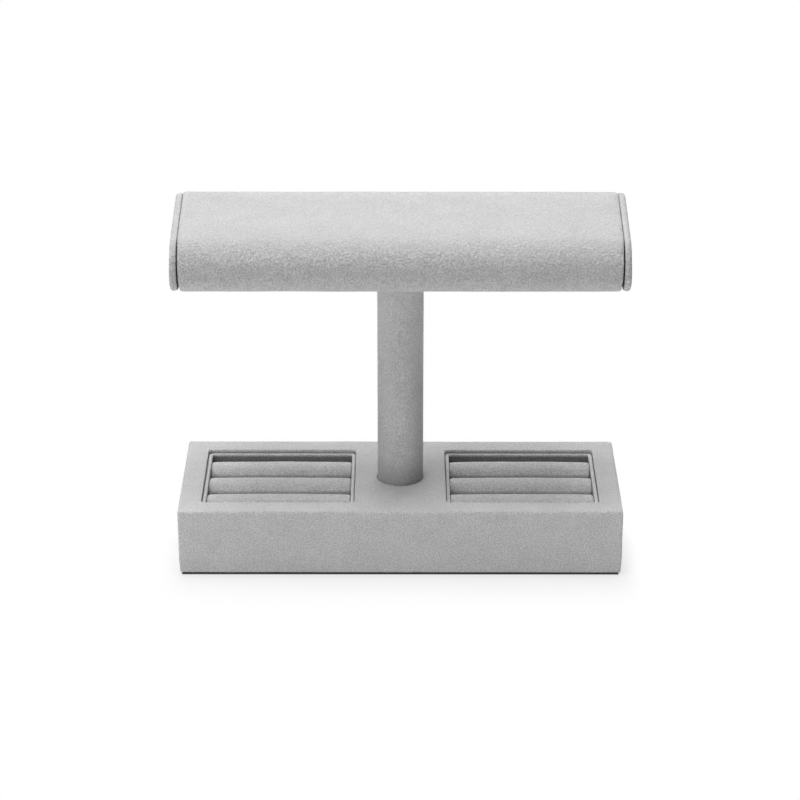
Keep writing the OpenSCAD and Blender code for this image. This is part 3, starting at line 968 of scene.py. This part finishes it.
def floor():
    """White floor that keeps the part's shadow close to it."""
    size = 3.0
    mesh = bpy.data.meshes.new("floor")
    mesh.from_pydata([(-size, -size, 0), (size, -size, 0), (size, size, 0), (-size, size, 0)],
                     [], [(0, 1, 2, 3)])
    piece = bpy.data.objects.new("floor", mesh)
    bpy.context.scene.collection.objects.link(piece)
    material, tree, shader = node_material("floor_white")
    shader.inputs["Base Color"].default_value = (0.9, 0.9, 0.9, 1)
    shader.inputs["Roughness"].default_value = 0.9
    shader.inputs["Specular IOR Level"].default_value = 0.0
    white = tree.nodes.new("ShaderNodeEmission")
    white.inputs["Strength"].default_value = 1
    mix = tree.nodes.new("ShaderNodeMixShader")
    away = tree.nodes.new("ShaderNodeTexCoord").outputs["Object"]
    nothing = (0, 0, 0)
    for operation, value in (("SUBTRACT", SHADE_MIDDLE), ("ABSOLUTE", nothing),
                             ("SUBTRACT", SHADE_HALF), ("MAXIMUM", nothing),
                             ("MULTIPLY", SHADE_STEEPNESS), ("LENGTH", nothing)):
        step = tree.nodes.new("ShaderNodeVectorMath")
        step.operation = operation
        tree.links.new(away, step.inputs[0])
        step.inputs[1].default_value = value
        away = step.outputs["Value" if operation == "LENGTH" else "Vector"]
    shown = ramp(tree, away, (0, SHADE_REACH), SHOWN_WHITE)
    shown.node.interpolation_type = "SMOOTHSTEP"
    tree.links.new(calc(tree, "MULTIPLY", seen_directly(tree), shown), mix.inputs[0])
    tree.links.new(shader.outputs[0], mix.inputs[1])
    tree.links.new(white.outputs[0], mix.inputs[2])
    tree.links.new(mix.outputs[0], tree.nodes["Material Output"].inputs["Surface"])
    piece.data.materials.append(material)


floor()

WORLD_LIGHT = 0.02
# Place, width, depth and power of each soft lamp
LAMPS = {
    "overhead": ((0, 0, 1.4), 1.0, 1.0, 14.7),
    "over_left": ((-0.7, 0, 1.3), 1.0, 1.0, 5.1),
    "behind": ((0, 1.4, 1.0), 1.6, 0.8, 12.7),
    "front_left": ((-1.1, -1.2, 0.8), 1.0, 1.0, 5.6),
    "low_front": ((0, -1.7, 0.35), 1.6, 0.6, 1.5),
}


def world_light():
    """Weak even light; what the camera sees behind the part is white."""
    world = bpy.data.worlds.new("studio")
    bpy.context.scene.world = world
    world.use_nodes = True
    tree = world.node_tree
    light = tree.nodes["Background"]
    light.inputs["Color"].default_value = (1, 1, 1, 1)
    light.inputs["Strength"].default_value = WORLD_LIGHT
    white = tree.nodes.new("ShaderNodeBackground")
    white.inputs["Color"].default_value = (1, 1, 1, 1)
    white.inputs["Strength"].default_value = 1
    mix = tree.nodes.new("ShaderNodeMixShader")
    tree.links.new(seen_directly(tree), mix.inputs[0])
    tree.links.new(light.outputs[0], mix.inputs[1])
    tree.links.new(white.outputs[0], mix.inputs[2])
    tree.links.new(mix.outputs[0], tree.nodes["World Output"].inputs["Surface"])


def lamp(name, position, width, depth, power):
    """Soft lamp that points at the part."""
    data = bpy.data.lights.new(name, "AREA")
    data.shape = "RECTANGLE"
    data.size = width
    data.size_y = depth
    data.energy = power
    piece = bpy.data.objects.new(name, data)
    bpy.context.scene.collection.objects.link(piece)
    piece.location = position
    aim = Vector((0, 0, 0.05)) - piece.location
    piece.rotation_mode = "QUATERNION"
    piece.rotation_quaternion = aim.to_track_quat("-Z", "Y")


world_light()
for lamp_name, settings in LAMPS.items():
    lamp(lamp_name, *settings)


def camera():
    """Camera at the photograph's place, worked out from the object's edges."""
    data = bpy.data.cameras.new("camera")
    data.sensor_width = 36
    data.lens = 122.78
    data.clip_start = 0.05
    data.clip_end = 20
    piece = bpy.data.objects.new("camera", data)
    bpy.context.scene.collection.objects.link(piece)
    pitch, yaw, roll = math.radians(24), math.radians(-0.02), math.radians(0.03)
    distance, aim_x, aim_z = 1.24117, -0.000196, 0.070059
    side_way = Vector((math.cos(yaw), -math.sin(yaw), 0))
    away = Vector((math.sin(yaw), math.cos(yaw), 0))
    up = Vector((0, 0, 1))
    look = away * math.cos(pitch) - up * math.sin(pitch)
    head = away * math.sin(pitch) + up * math.cos(pitch)
    right = side_way * math.cos(roll) + head * math.sin(roll)
    top = head * math.cos(roll) - side_way * math.sin(roll)
    piece.matrix_world = Matrix((
        (right.x, top.x, -look.x, 0),
        (right.y, top.y, -look.y, 0),
        (right.z, top.z, -look.z, 0),
        (0, 0, 0, 1)))
    piece.location = side_way * aim_x + up * aim_z - look * distance
    bpy.context.scene.camera = piece


camera()
bpy.context.scene.view_settings.view_transform = "Standard"
